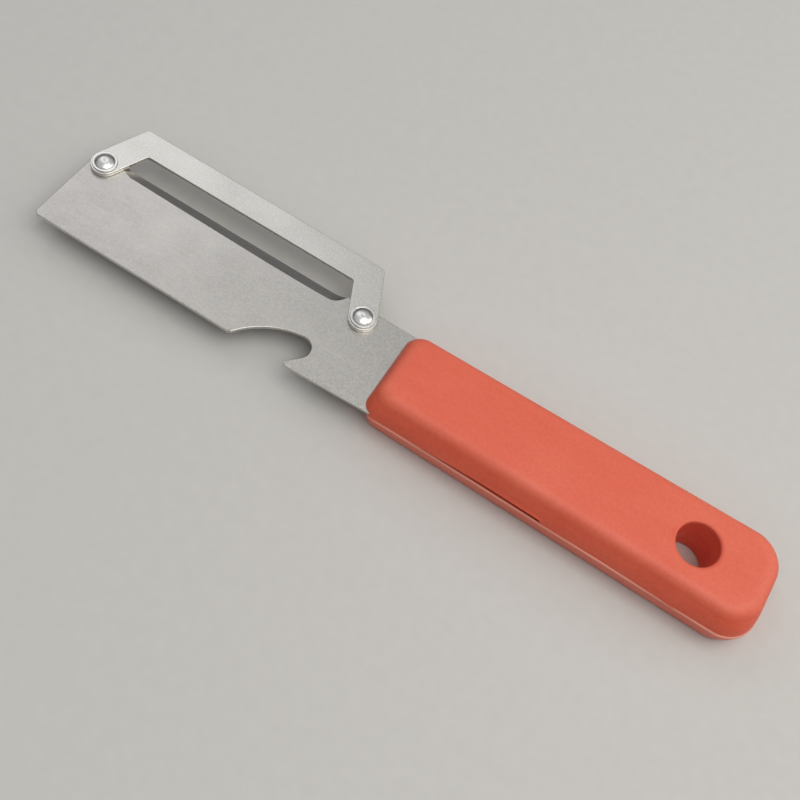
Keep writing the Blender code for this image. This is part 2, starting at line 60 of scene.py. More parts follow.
MM = 0.001
BLADE_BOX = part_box("blade")
GUARD_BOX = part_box("peeling_guard")
UPPER_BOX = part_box("handle_upper_shell")
LOWER_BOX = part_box("handle_lower_shell")
FRONT_RIVET = (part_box("rivet_front")[0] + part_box("rivet_front")[1]) / 2
REAR_RIVET = (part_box("rivet_rear")[0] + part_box("rivet_rear")[1]) / 2
SEAM_Z = (BLADE_BOX[0].z + BLADE_BOX[1].z) / 2
HANDLE_Y = (LOWER_BOX[0].y + LOWER_BOX[1].y) / 2
LAY_GAP = 0.02 * MM         # pieces that lie on each other stand this far apart
FACE_PALING = 0.12            # the handle's far faces are made paler by this much, and the far edge's rounding more, as a painted highlight


# --- Settings ---------------------------------------------------------------------------------
def linear(hex_colour):
    """sRGB hex colour as linear RGBA."""
    srgb = np.array([int(hex_colour[i:i + 2], 16) / 255 for i in (0, 2, 4)])
    value = np.where(srgb <= 0.04045, srgb / 12.92, ((srgb + 0.055) / 1.055) ** 2.4)
    return (*value.tolist(), 1.0)


def length(name, description, millimetres):
    """Length property with its default in millimetres."""
    return FloatProperty(name=name, description=description, default=millimetres * MM,
                         unit="LENGTH", subtype="DISTANCE", precision=5)


def colour(name, description, hex_colour):
    """Colour property with its default as sRGB hex."""
    return FloatVectorProperty(name=name, description=description, size=4, subtype="COLOR",
                               min=0, max=1, default=linear(hex_colour))


class BladeSettings(bpy.types.PropertyGroup):
    """Sizes and colours of the blade plate."""
    edge_rounding: length("Edge rounding", "Rounding of the punched edges", 0.20)
    corner_radius: length("Front corner", "Radius of the front lower corner", 1.3)
    nose_radius: length("Nose", "Radius of the front upper corner, under the guard", 3.4)
    nose_lean: length("Nose lean", "How far the front edge leans back over its height", 1.2)
    notch_setback: length("Notch setback", "Sharp corner of the notch, ahead of the rear rivet",
                          23.6)
    notch_arc: length("Notch arc", "Radius of the notch's long arc", 21.0)
    notch_end: length("Notch end", "Radius of the notch's round end", 3.1)
    hook_tip: length("Hook tip", "Radius of the hook's tip", 0.8)
    grind_width: length("Grind width", "Width of the ground face beside the slot", 2.72)
    grind_setback: length("Grind setback", "Cutting edge, below the spine", 0.6)
    grind_bow: length("Grind bow", "How much narrower the ground face is at its ends", 0.35)
    grind_land: length("Land", "Thickness left at the cutting edge", 0.15)
    steel: colour("Steel", "Satin face of the plate", "BBB8B3")
    # Painted darker than the satin steel, a painted reflection of the dark surroundings.
    ground_steel: colour("Ground steel", "Ground face beside the slot", "A6A29F")


class GuardSettings(bpy.types.PropertyGroup):
    """Sizes and colours of the guard strip."""
    edge_rounding: length("Edge rounding", "Rounding of the punched edges", 0.16)
    bar_width: length("Bar width", "Width of the bar over the slot", 6.9)
    leg_width: length("Leg width", "Width of the two legs", 7.2)
    outer_radius: length("Outer corner", "Radius of the outer corners", 1.4)
    inner_radius: length("Inner corner", "Radius of the inner corners", 0.9)
    leg_lean: FloatProperty(name="Leg lean", description="Lean of the legs from square",
                            default=math.radians(24.0), subtype="ANGLE")
    steel: colour("Steel", "Satin face of the strip", "CFCDC7")


class RivetSettings(bpy.types.PropertyGroup):
    """Sizes and colours of the two rivets."""
    dome_radius: length("Dome radius", "Radius of the dome at its foot", 2.4)
    dome_height: length("Dome height", "Height of the dome over the brim", 0.72)
    brim_height: length("Brim height", "Thickness of the brim", 0.35)
    tail_radius: length("Tail radius", "Radius of the tail head under the blade", 2.8)
    dimple_radius: length("Dimple radius", "Small hollow left by the tool in the dome", 0.55)
    dimple_depth: length("Dimple depth", "Depth of that hollow", 0.09)
    steel: colour("Steel", "Bright face of the rivet", "E4E3E0")


class HandleSettings(bpy.types.PropertyGroup):
    """Sizes and colours of the two handle shells."""
    half_front: length("Front half width", "Half width at the seam, at the front", 12.3)
    front_radius: length("Front corners", "Plan radius of the front corners", 3.8)
    rear_radius: length("Rear corners", "Plan radius of the rear corners", 7.8)
    upper_side_inset: length("Upper side lean", "The upper sides lean in by this much", 3.0)
    upper_end_inset: length("Upper end lean", "The upper ends lean in by this much", 1.8)
    lower_side_inset: length("Lower side lean", "The lower sides lean in by this much", 1.4)
    lower_end_inset: length("Lower end lean", "The lower ends lean in by this much", 0.5)
    upper_crease: length("Upper rounding", "Rounding of the upper edge", 2.2)
    lower_crease: length("Lower rounding", "Rounding of the lower edge", 1.3)
    wall: length("Wall", "Wall of the shells", 2.4)
    ledge: length("Ledge", "The lower shell stands proud of the upper one by this much", 0.34)
    slit_start: length("Slit start", "Start of the long slit, behind the front face", 11.0)
    slit_end: length("Slit end", "End of the long slit, behind the front face", 48.3)
    slit_height: length("Slit height", "Height of the slit at its rear end", 1.25)
    slit_groove: length("Slit groove", "Depth of the groove in the lower rim under the slit", 0.9)
    seam_dip: length("Seam dip", "How far the seam runs down at the front corners", 0.75)
    hole_setback: length("Hole setback", "Axis of the hanging hole, ahead of the rear end", 19.9)
    hole_radius: length("Hole radius", "Radius of the hanging hole", 5.2)
    hole_rounding: length("Hole rounding", "Rounding of the hole's rims", 0.7)
    mouth_half: length("Mouth", "Half width of the opening for the tang", 11.8)
    sink_depth: length("Sink marks", "Depth of the sink marks over the pegs", 0.03)
    plastic: colour("Plastic", "Moulded plastic of both shells", "E65D41")
    plastic_pale: colour("Pale plastic", "Paler clouding of the plastic", "EC694D")


class StageSettings(bpy.types.PropertyGroup):
    """Floor and light round the tool."""
    floor: colour("Floor", "Matte pale floor", "CFCDC9")
    sky: colour("Sky", "Soft light from above", "FDFEFF")
    sky_strength: FloatProperty(name="Sky strength", description="Strength of the soft light",
                                default=0.52, min=0)
    key_power: FloatProperty(name="Key power", description="Power of the large overhead light",
                             default=2.95, min=0, unit="POWER")
    side_power: FloatProperty(name="Side power", description="Power of the low side light",
                              default=1.2, min=0, unit="POWER")
    fill_power: FloatProperty(name="Fill power", description="Power of the light that the front "
                              "of the blade mirrors", default=0.35, min=0, unit="POWER")


class KnifeSettings(bpy.types.PropertyGroup):
    """All settings of the knife."""
    blade: PointerProperty(type=BladeSettings)
    guard: PointerProperty(type=GuardSettings)
    rivet: PointerProperty(type=RivetSettings)
    handle: PointerProperty(type=HandleSettings)
    stage: PointerProperty(type=StageSettings)


# --- Surfaces ---------------------------------------------------------------------------------
def unit(vectors):
    """Vectors scaled to length one."""
    return vectors / np.linalg.norm(vectors, axis=-1, keepdims=True)


def rounded_rings(corners, arc_steps, side_fractions):
    """Rows of closed outlines with rounded corners.

    Each corner (x, y, radius) becomes an arc tangent to both of its sides: its centre lies on the
    bisector, at radius / sin(half angle) from the corner. The arc is swept by turning its first
    spoke, and each side is filled by going the given fractions of the way to the next arc.
    Returns points and outward normals, both rows by columns by 2, for anticlockwise outlines.
    """
    corners = np.asarray(corners, float)
    place, radius = corners[..., :2], corners[..., 2:]
    back = unit(np.roll(place, 1, axis=-2) - place)
    ahead = unit(np.roll(place, -1, axis=-2) - place)
    half = np.arccos(np.clip((back * ahead).sum(-1, keepdims=True), -1, 1)) / 2
    start = place + back * radius / np.tan(half)
    end = place + ahead * radius / np.tan(half)
    centre = place + unit(back + ahead) * radius / np.sin(half)
    cross = back[..., :1] * ahead[..., 1:] - back[..., 1:] * ahead[..., :1]
    way = -np.sign(cross)
    turn = (math.pi - 2 * half) * way
    points, normals = [], []
    for k in range(corners.shape[-2]):
        angle = turn[:, k] * np.linspace(0, 1, arc_steps[k])[None]
        spoke = start[:, k] - centre[:, k]
        swept = np.stack([spoke[:, :1] * np.cos(angle) - spoke[:, 1:] * np.sin(angle),
                          spoke[:, :1] * np.sin(angle) + spoke[:, 1:] * np.cos(angle)], -1)
        points.append(centre[:, k, None] + swept)
        normals.append(unit(swept) * way[:, k, None])
        following = start[:, (k + 1) % corners.shape[-2]]
        step = np.asarray(side_fractions[k])[None, :, None]
        points.append(end[:, k, None] + (following - end[:, k])[:, None] * step)
        square = np.stack([ahead[:, k, 1], -ahead[:, k, 0]], -1)
        normals.append(np.repeat(square[:, None], step.shape[1], axis=1))
    return np.concatenate(points, 1), np.concatenate(normals, 1)


def even(count):
    """Fractions of a side, evenly spaced between its ends and without them."""
    return np.arange(1, count) / count


def grid_faces(rows, columns, closed_rows=False):
    """Quads of a grid whose columns close on themselves, and its rows too if asked."""
    down = np.arange(rows if closed_rows else rows - 1)[:, None]
    round_ = np.arange(columns)[None]
    below, beside = (down + 1) % rows, (round_ + 1) % columns
    corners = [down * columns + round_, below * columns + round_,
               below * columns + beside, down * columns + beside]
    return np.stack(np.broadcast_arrays(*corners), -1).reshape(-1, 4)


def build_mesh(name, points, faces, wear=None):
    """Mesh from an array of points and arrays of faces, one array for each number of corners."""
    mesh = bpy.data.meshes.new(name)
    corners = np.concatenate([part.ravel() for part in faces]).astype(np.int32)
    sizes = np.concatenate([np.full(len(part), part.shape[1]) for part in faces])
    starts = np.concatenate([[0], np.cumsum(sizes)[:-1]]).astype(np.int32)
    mesh.vertices.add(len(points))
    mesh.vertices.foreach_set("co", np.asarray(points, np.float32).ravel())
    mesh.loops.add(len(corners))
    mesh.loops.foreach_set("vertex_index", corners)
    mesh.polygons.add(len(starts))
    mesh.polygons.foreach_set("loop_start", starts)
    mesh.update(calc_edges=True)
    if mesh.validate():
        raise RuntimeError(f"the mesh of {name} had faults")
    mesh.shade_smooth()
    # The attribute marks where the materials paint light and shade, and wear.
    if wear is not None:
        layer = mesh.attributes.new("wear", "FLOAT", "POINT")
        layer.data.foreach_set("value", np.asarray(wear, np.float32).ravel())
    return mesh


def add_piece(mesh, finish, slot, *nodes):
    """Put a finished mesh on the tool in place of its CAD nodes."""
    piece = bpy.data.objects.new(mesh.name, mesh)
    piece.data.materials.append(finish)
    bpy.context.scene.collection.objects.link(piece)
    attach(piece, "root")
    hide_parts(*nodes)
    return piece


def plate(name, points, normals, insets, heights, wear):
    """Plate as a profile carried along its outline: each row is the outline moved inwards by its
    inset, at its height, and the first and last rows are filled with one flat face each."""
    rows, columns = insets.shape
    flat = points - normals * insets[..., None]
    grid = np.concatenate([flat, heights[..., None]], -1).reshape(-1, 3)
    top = np.arange(columns)[None]
    bottom = ((rows - 1) * columns + np.arange(columns)[::-1])[None]
    weights = np.broadcast_to(wear, insets.shape)
    return build_mesh(name, grid, [grid_faces(rows, columns), top, bottom], weights)


# --- Materials --------------------------------------------------------------------------------
def add_node(tree, kind, inputs, output=0, **settings):
    """Add one node, set its own settings, fill or link its inputs, and give one of its outputs."""
    made = tree.nodes.new("ShaderNode" + kind)
    for name, value in settings.items():
        setattr(made, name, value)
    for name, value in inputs.items():
        if isinstance(value, bpy.types.NodeSocket):
            tree.links.new(value, made.inputs[name])
        else:
            made.inputs[name].default_value = value
    return made.outputs[output] if made.outputs else None


def start_material(name):
    """Empty material, with its node tree and its texture space in metres."""
    made = bpy.data.materials.new(name)
    made.use_nodes = True
    made.node_tree.nodes.clear()
    return made, made.node_tree, add_node(made.node_tree, "TexCoord", {}, "Object")


def cover(tree, tone, rough, height, strength, depth, constants):
    """Shader at the end of a material: colour, roughness and bump from patterns, with the bump's
    depth in millimetres, and what is the same all over set on its own sockets."""
    bump = add_node(tree, "Bump", {"Height": height, "Strength": strength, "Distance": depth * MM})
    shader = add_node(tree, "BsdfPrincipled", {"Base Color": tone, "Roughness": rough,
                                               "Normal": bump, **constants})
    add_node(tree, "OutputMaterial", {"Surface": shader})


def mottle(tree, place, size, detail=2.0, rough=0.5, ends=(0.0, 1.0), turn=0.0):
    """Cloudy pattern with features of this size in millimetres along X, Y and Z: noise in a space
    divided by the size and turned about Z, with the range between its ends made 0 to 1."""
    scale = [1000 / part for part in np.broadcast_to(size, 3).tolist()]
    space = add_node(tree, "Mapping", {"Vector": place, "Scale": scale, "Rotation": (0, 0, turn)})
    level = add_node(tree, "TexNoise", {"Vector": space, "Scale": 1.0, "Detail": detail,
                                        "Roughness": rough})
    return add_node(tree, "MapRange", {0: level, 1: ends[0], 2: ends[1]})


def hairlines(tree, place, turn, along, across, width, seed):
    """Thin wandering scratches in patches of 8 mm: the line where stretched noise crosses its
    middle value. Real ones are a few hundredths of a millimetre wide, and these are drawn as wide
    as they need to show."""
    space = add_node(tree, "Mapping", {
        "Vector": place, "Scale": (1000 / along, 1000 / across, 1000 / across),
        "Rotation": (0, 0, turn), "Location": (seed, seed * 0.7, 0)})
    level = add_node(tree, "TexNoise", {"Vector": space, "Scale": 1.0, "Detail": 1.0})
    off = add_node(tree, "Math", {0: level, 1: 0.5}, operation="SUBTRACT")
    away = add_node(tree, "Math", {0: off}, operation="ABSOLUTE")
    line = add_node(tree, "MapRange", {0: away, 1: 0.0, 2: width, 3: 1.0, 4: 0.0})
    patches = mottle(tree, place, 8.3, ends=(0.48, 0.62), turn=turn)
    return add_node(tree, "Math", {0: line, 1: patches}, operation="MULTIPLY")


def weighed(tree, total, *parts):
    """Sum of a number and of patterns, each pattern times its weight."""
    for pattern, weight in parts:
        total = add_node(tree, "Math", {0: pattern, 1: weight, 2: total}, operation="MULTIPLY_ADD")
    return total


def layered(tree, tone, *layers):
    """Colour with layers laid over it: each layer (pattern, share, colour) hides what is below it
    by the pattern times the share."""
    for pattern, share, paint in layers:
        tone = add_node(tree, "Mix", {0: weighed(tree, 0.0, (pattern, share)), 6: tone, 7: paint},
                        2, data_type="RGBA")
    return tone


def shade(base, factor):
    """Colour made lighter or darker."""
    return (*(min(1.0, part * factor) for part in base[:3]), 1.0)


def satin_steel(name, base, scratch_share, rough_low, rough_high):
    """Stainless strip, cold rolled and tumbled: a soft grey shine with clouds about a centimetre
    across, faint rolling lines along the strip, and hairline scratches from use. The real grain is
    a few hundredths of a millimetre, and is drawn at 0.43 mm so that it shows. Its rounded edges
    are smoother, and painted brighter as a painted edge highlight."""
    made, tree, place = start_material(name)
    clouds = mottle(tree, place, (14, 10.5, 10.5), 3.0, 0.55, (0.3, 0.7), 0.35)
    fine = mottle(tree, place, 0.43, 3.0, 0.7)
    speckle = add_node(tree, "MapRange", {0: fine, 1: 0.40, 2: 0.64})
    rolled = mottle(tree, place, (6.3, 0.33, 0.33), 2.0, 0.6)
    marks = 0.0
    for turn, along, across, width, seed in ((0.5, 22, 1.5, 0.010, 3.1),
                                             (-0.75, 16, 1.3, 0.010, 11.7),
                                             (1.35, 19, 1.7, 0.008, 23.9)):
        more = hairlines(tree, place, turn, along, across, width, seed)
        marks = add_node(tree, "Math", {0: marks, 1: more}, operation="MAXIMUM")
    # The attribute marks the rounded edges, which are painted brighter as a painted edge highlight,
    # and made smoother.
    painted_light_and_wear_mask = add_node(tree, "Attribute", {}, "Fac", attribute_name="wear")
    tone = layered(tree, shade(base, 0.90), (clouds, 1.0, tuple(base)),
                   (speckle, 0.85, shade(base, 1.20)),
                   (marks, 0.8 * scratch_share, shade(base, 1.20)),
                   (painted_light_and_wear_mask, 1.0, shade(base, 1.45)))
    rough = weighed(tree, rough_high - 0.03, (clouds, rough_low - rough_high), (speckle, 0.05),
                    (painted_light_and_wear_mask, -0.08))
    height = weighed(tree, 0.0, (fine, 1.0), (rolled, 0.5), (marks, -1.5 * scratch_share))
    cover(tree, tone, rough, height, 0.35, 0.02, {"Metallic": 1.0})
    return made


def ground_steel(base):
    """Stainless steel ground on a fine wheel: smoother than the satin plate, with its colour
    painted darker as a painted reflection of the dark surroundings that it mirrors. The real
    grinding lines, square to the edge, are finer than the 0.24 mm at which they are drawn so that
    they show."""
    made, tree, place = start_material("wheel_ground_stainless")
    lines = mottle(tree, place, (0.24, 2, 2), 2.0, 0.6, turn=0.05)
    streaks = add_node(tree, "MapRange", {0: lines, 1: 0.35, 2: 0.7})
    clouds = mottle(tree, place, (8.3, 2.5, 2.5), ends=(0.3, 0.7))
    tone = layered(tree, tuple(base), (streaks, 0.4, shade(base, 1.25)))
    rough = weighed(tree, 0.26, (clouds, 0.08))
    cover(tree, tone, rough, lines, 0.06, 0.02, {"Metallic": 1.0})
    return made


def bright_steel(base):
    """Stainless rivet, cold headed and tumbled bright: a near mirror, softened by tiny dents about
    half a millimetre across and by a fine frosting of 0.1 mm. Round the foot of the dome it is
    painted darker, a painted shade in the groove, and rougher."""
    made, tree, place = start_material("tumbled_stainless_rivet")
    dents = mottle(tree, place, 0.59)
    fine = mottle(tree, place, 0.11)
    painted_light_and_wear_mask = add_node(tree, "Attribute", {}, "Fac", attribute_name="wear")
    # The groove round the dome's foot is painted darker, a painted shade.
    tone = layered(tree, tuple(base), (painted_light_and_wear_mask, 1.0, shade(base, 0.55)))
    rough = weighed(tree, 0.20, (dents, 0.2), (painted_light_and_wear_mask, 0.15))
    height = weighed(tree, 0.0, (dents, 1.0), (fine, 0.08))
    cover(tree, tone, rough, height, 0.3, 0.06, {"Metallic": 1.0})
    return made


def moulded_plastic(base, pale):
    """Polypropylene, injection moulded in a finely spark-eroded mould: a satin orange-red with
    faint pale clouds along the flow, thin scuffs and dust specks. Where the mesh marks it, it is
    smoother and painted paler: a painted highlight on the rims and the far edge's rounding, and
    painted bounce light on the lower side. The real grain is near 0.1 mm, and is drawn at 0.31 mm
    so that it shows."""
    made, tree, place = start_material("moulded_polypropylene")
    clouds = mottle(tree, place, (22, 9, 9), 3.0, 0.55, (0.3, 0.7))
    grain = mottle(tree, place, 0.31, 3.0, 0.6)
    flow = mottle(tree, place, (17, 0.9, 0.9), ends=(0.3, 0.75))
    dust = mottle(tree, place, 0.67, 1.0, ends=(0.70, 0.78))
    specks = mottle(tree, place, 0.83, 3.0, 0.65, (0.40, 0.64))
    scuffs = add_node(tree, "Math", {0: hairlines(tree, place, 0.3, 18, 1.4, 0.008, 5.3),
                                     1: hairlines(tree, place, -1.0, 14, 1.2, 0.008, 17.1)},
                      operation="MAXIMUM")
    # The attribute lays the pale coat: painted highlight on the rims and the far edge's rounding,
    # painted bounce light on the lower side, and a paler far face and hole rim.
    painted_light_and_wear_mask = add_node(tree, "Attribute", {}, "Fac", attribute_name="wear")
    tone = layered(tree, tuple(base), (clouds, 1.0, tuple(pale)),
                   (specks, 0.22, linear("C8452A")), (flow, 0.06, linear("C23B22")),
                   (dust, 0.20, linear("F0947C")), (scuffs, 0.06, linear("F0A08A")),
                   (painted_light_and_wear_mask, 0.80, linear("F4AC96")))
    rough = weighed(tree, 0.52, (clouds, -0.06), (painted_light_and_wear_mask, -0.07))
    height = weighed(tree, 0.0, (grain, 1.0), (flow, 0.07), (scuffs, -0.3))
    cover(tree, tone, rough, height, 0.35, 0.04, {"IOR": 1.49, "Specular IOR Level": 0.38})
    return made


def matte_floor(base):
    """Heavy matte board: pale, without gloss, with a faint mottle a few millimetres across."""
    made, tree, place = start_material("matte_board")
    clouds = mottle(tree, place, 3.3, 3.0, ends=(0.3, 0.7))
    tone = layered(tree, shade(base, 0.97), (clouds, 1.0, tuple(base)))
    cover(tree, tone, 0.85, clouds, 0.05, 0.02, {"Specular IOR Level": 0.2})
    return made


# --- Blade ------------------------------------------------------------------------------------
# Slopes of the notch: its long arc at the sharp corner, its crown, and the hook's inner side.
ARC_SLOPE, CROWN_SLOPE, HOOK_SLOPE = (math.radians(a) for a in (56.5, 7.5, 45.7))
SHOULDER = 4.2 * MM         # the tang's shoulders, behind the handle's front face
TANG_STEP = 3.2 * MM        # the tang is narrower than the blade by this much on each side
CUT_RADIUS = 0.8 * MM       # corners of the tang's shoulders
TANG_ROUND = 3.0 * MM       # corners of the tang's end
SHARP_CORNER = 0.3 * MM     # radius of the notch's sharp corner
FULL_ROUND = 0.999          # share of the room that a corner takes when two corners meet in one arc
# Where the ground face starts behind the front rivet and ends ahead of the rear one, and the
# lengths over which it reaches its full width, all in millimetres.
GRIND_START, GRIND_END, GRIND_LEAD, GRIND_TRAIL = 1.0, 6.05, 6.2, 3.9
GROUND_ROWS = slice(2, 9)   # rows of faces of the profile that make the ground face


def blade_corners(s):
    """Corners of the blade's outline, anticlockwise from its front lower corner. The notch climbs
    from its sharp corner along one long arc, turns back round its end, and comes down the hook."""
    low, high = BLADE_BOX
    x, y = REAR_RIVET.x - s.notch_setback, low.y
    long_side = s.notch_arc * math.tan((ARC_SLOPE - CROWN_SLOPE) / 2)
    crown = (x + long_side * math.cos(ARC_SLOPE), y + long_side * math.sin(ARC_SLOPE))
    reach = long_side + s.notch_end * math.tan((math.pi + CROWN_SLOPE - HOOK_SLOPE) / 2)
    back = (crown[0] + reach * math.cos(CROWN_SLOPE), crown[1] + reach * math.sin(CROWN_SLOPE))
    tip_x = back[0] - (back[1] - y) / math.tan(HOOK_SLOPE)
    half_mouth = high.y - HANDLE_Y
    half_tang = half_mouth - TANG_STEP
    shoulder = UPPER_BOX[0].x + SHOULDER
    return [(low.x, low.y, s.corner_radius), (x, y, SHARP_CORNER),
            (*crown, s.notch_arc * FULL_ROUND), (*back, s.notch_end), (tip_x, y, s.hook_tip),
            (shoulder, HANDLE_Y - half_mouth, CUT_RADIUS),
            (shoulder, HANDLE_Y - half_tang, CUT_RADIUS),
            (high.x, HANDLE_Y - half_tang, TANG_ROUND),
            (high.x, HANDLE_Y + half_tang, TANG_ROUND),
            (shoulder, HANDLE_Y + half_tang, CUT_RADIUS), (shoulder, high.y, CUT_RADIUS),
            (low.x + s.nose_lean, high.y, s.nose_radius)]


def blade_outline(s):
    """Blade's outline and normals, with its columns closest together at the ends of the ground
    face, where the profile changes fastest."""
    corners = blade_corners(s)
    arc_steps = [14, 6, 48, 34, 16, 8, 8, 10, 10, 8, 8, 22]
    sides = [even(n) for n in (56, 3, 3, 14, 24, 3, 50, 20, 50, 3)]
    spine_start = corners[10][0] - CUT_RADIUS
    plain = rounded_rings([corners], arc_steps, sides + [even(2), even(30)])[0][0]
    spine_end = plain[sum(arc_steps[:11]) + sum(len(side) for side in sides) + 1, 0]
    # Columns of the spine, in millimetres behind the front rivet.
    stops = np.concatenate([np.linspace(91.2, 70.0, 16)[1:], np.linspace(70.0, 63.0, 70)[1:],
                            np.linspace(63.0, 8.0, 110)[1:], np.linspace(8.0, 0.4, 60)[1:]])
    share = (spine_start - (FRONT_RIVET.x + stops * MM)) / (spine_start - spine_end)
    share = share[(share > 0.001) & (share < 0.999)]
    rings = rounded_rings([corners], arc_steps, sides + [share, even(30)])
    return [part[0] for part in rings]


def blade_mesh(s):
    """Blade: a profile carried round the outline. Along the spine the profile is the ground face:
    its inner boundary bows, starts as a shallow curve by the front rivet and ends as a tight one
    short of the rear rivet, and the face drops in proportion to its width. Gives the mesh and the
    material index of each face, 1 on the ground face."""
    points, normals = blade_outline(s)
    x = (points[:, 0] - FRONT_RIVET.x) / MM
    on_spine = (normals[:, 1] > 0.9999) & (points[:, 1] > BLADE_BOX[1].y - 0.01 * MM)
    last = (REAR_RIVET.x - FRONT_RIVET.x) / MM - GRIND_END
    lead = 1 - (1 - np.clip((x - GRIND_START) / GRIND_LEAD, 0, 1)) ** 1.25
    trail = 1 - (1 - np.clip((last - x) / GRIND_TRAIL, 0, 1)) ** 2.5
    # The face narrows slowly towards the front rivet, and a little before the rear one.
    bow = s.grind_bow * (1.7 * np.clip((48 - x) / 40, 0, 1) ** 1.2
                         + 0.7 * np.clip((x - 55) / 12, 0, 1) ** 2)
    ground = np.where(on_spine, np.minimum(lead, trail), 0.0)
    width = ground * (s.grind_width + s.grind_setback - bow)
    setback = s.grind_setback * ground ** 0.8
    low, high = BLADE_BOX[0].z, BLADE_BOX[1].z
    drop = np.maximum(width - setback, 0) / s.grind_width * (high - low - s.grind_land)
    rounding = s.edge_rounding * (1 - 0.75 * np.clip(drop / (high - low) * 1.5, 0, 1))
    inner = np.maximum(width, 0.12 * MM) + rounding
    edge = setback + rounding

    # Rows of (inset, height, painted light and wear): the top face, the ground face, the upper
    # edge, the cut side, the lower edge and the bottom face. The edges and the cut side are marked
    # to be painted brighter, a painted edge highlight.
    rows = [(inner + 0.10 * MM, high, 0), (inner + 0.015 * MM, high, 0), (inner, high, 0)]
    rows += [(inner * (1 - t) + edge * t, high - drop * t, 0)
             for t in (0.015, 0.05, 0.35, 0.65, 0.95, 0.99)]
    rows += [(edge - rounding * math.sin(a), high - drop - rounding + rounding * math.cos(a), 0.8)
             for a in np.radians((12, 30, 50, 70, 90))]
    rows += [(setback, (high - drop + low) / 2, 0.15)]
    rows += [(edge - rounding * math.cos(a), low + rounding - rounding * math.sin(a), 0.6)
             for a in np.radians((0, 20, 40, 60, 78, 90))]
    rows += [(edge + 0.03 * MM, low, 0), (edge + 0.12 * MM, low, 0)]
    insets, heights, wear = (np.array([row[k] + 0 * x for row in rows]) for k in range(3))
    mesh = plate("blade_plate", points, normals, insets, heights, wear)
    ground_faces = np.zeros((len(rows) - 1, len(x)), np.int32)
    ground_faces[GROUND_ROWS] = drop > 0.02 * MM
    return mesh, np.append(ground_faces.ravel(), [0, 0]).astype(np.int32)


class PEELER_OT_blade(bpy.types.Operator):
    """Builds the blade plate with its notch, its hook and its ground slot edge"""
    bl_idname = "peeler.blade"
    bl_label = "Blade"

    def execute(self, context):
        s = context.scene.peeling_knife.blade
        mesh, material_index = blade_mesh(s)
        finish = satin_steel("satin_stainless_plate", s.steel, scratch_share=0.9,
                             rough_low=0.33, rough_high=0.38)
        piece = add_piece(mesh, finish, "blade_steel", "blade")
        piece.data.materials.append(ground_steel(s.ground_steel))
        mesh.polygons.foreach_set("material_index", material_index)
        return {"FINISHED"}


# --- Guard ------------------------------------------------------------------------------------
def guard_corners(s):
    """Corners of the guard's outline, anticlockwise. Each leg is a strip that leans out from its
    rivet, with a round tab at its foot, and the bar joins the two over the slot."""
    half = s.leg_width / 2
    up = np.array([math.sin(s.leg_lean), math.cos(s.leg_lean)])
    out = np.array([-up[1], up[0]])
    outer_y = GUARD_BOX[1].y
    foot = np.array([FRONT_RIVET.x, FRONT_RIVET.y])

    def on_leg(side, y):
        start = foot + out * side * half
        return start + up * ((y - start[1]) / up[1])

    tab = half * FULL_ROUND
    front = [(*on_leg(-1, outer_y - s.bar_width), s.inner_radius),
             (*(foot - up * half - out * half), tab), (*(foot - up * half + out * half), tab),
             (*on_leg(1, outer_y), s.outer_radius)]
    middle = FRONT_RIVET.x + REAR_RIVET.x
    rear = [(middle - x, y, r) for x, y, r in reversed(front)]
    return (front + rear)[::-1]


def guard_mesh(s):
    """Guard: a flat strip with the same rounded edge all round, a quarter circle at the top and
    another at the bottom."""
    rings = rounded_rings([guard_corners(s)], [26] * 8, [even(40)] * 8)
    points, normals = (part[0] for part in rings)
    low, high = BLADE_BOX[1].z + LAY_GAP, GUARD_BOX[1].z
    r = s.edge_rounding
    turn = np.radians((90, 72, 54, 36, 18, 0))
    flats = [r + 0.02 * MM, r + 0.15 * MM]
    insets = np.concatenate([flats[::-1], r - r * np.cos(turn), [0],
                             r - r * np.cos(turn[::-1]), flats])
    heights = np.concatenate([[high, high], high - r + r * np.sin(turn), [(low + high) / 2],
                              low + r - r * np.sin(turn[::-1]), [low, low]])
    # The rounded edges are marked to be painted brighter, a painted edge highlight.
    wear = np.where((heights < high - 1e-7) & (heights > low + 1e-7), 0.5, 0.0)
    insets, heights = (np.broadcast_to(part[:, None], (len(part), len(points)))
                       for part in (insets, heights))
    return plate("guard_strip", points, normals, insets, heights, wear[:, None])


class PEELER_OT_guard(bpy.types.Operator):
    """Builds the guard strip that is riveted over the slot"""
    bl_idname = "peeler.guard"
    bl_label = "Guard"

    def execute(self, context):
        s = context.scene.peeling_knife.guard
        finish = satin_steel("satin_stainless_strip", s.steel, scratch_share=0.4,
                             rough_low=0.32, rough_high=0.36)
        add_piece(guard_mesh(s), finish, "guard_steel", "peeling_guard")
        return {"FINISHED"}


# --- Rivets -----------------------------------------------------------------------------------
GROOVE_DEPTH = 0.06 * MM    # narrow groove round the foot of the dome
GROOVE_WIDTH = 0.22 * MM
BRIM_ROUND = 0.14 * MM      # rounding of the brim's edge
SHANK_RADIUS = 1.5 * MM
TAIL_ROUND = 0.05 * MM      # chamfer of the tail head, at the blade


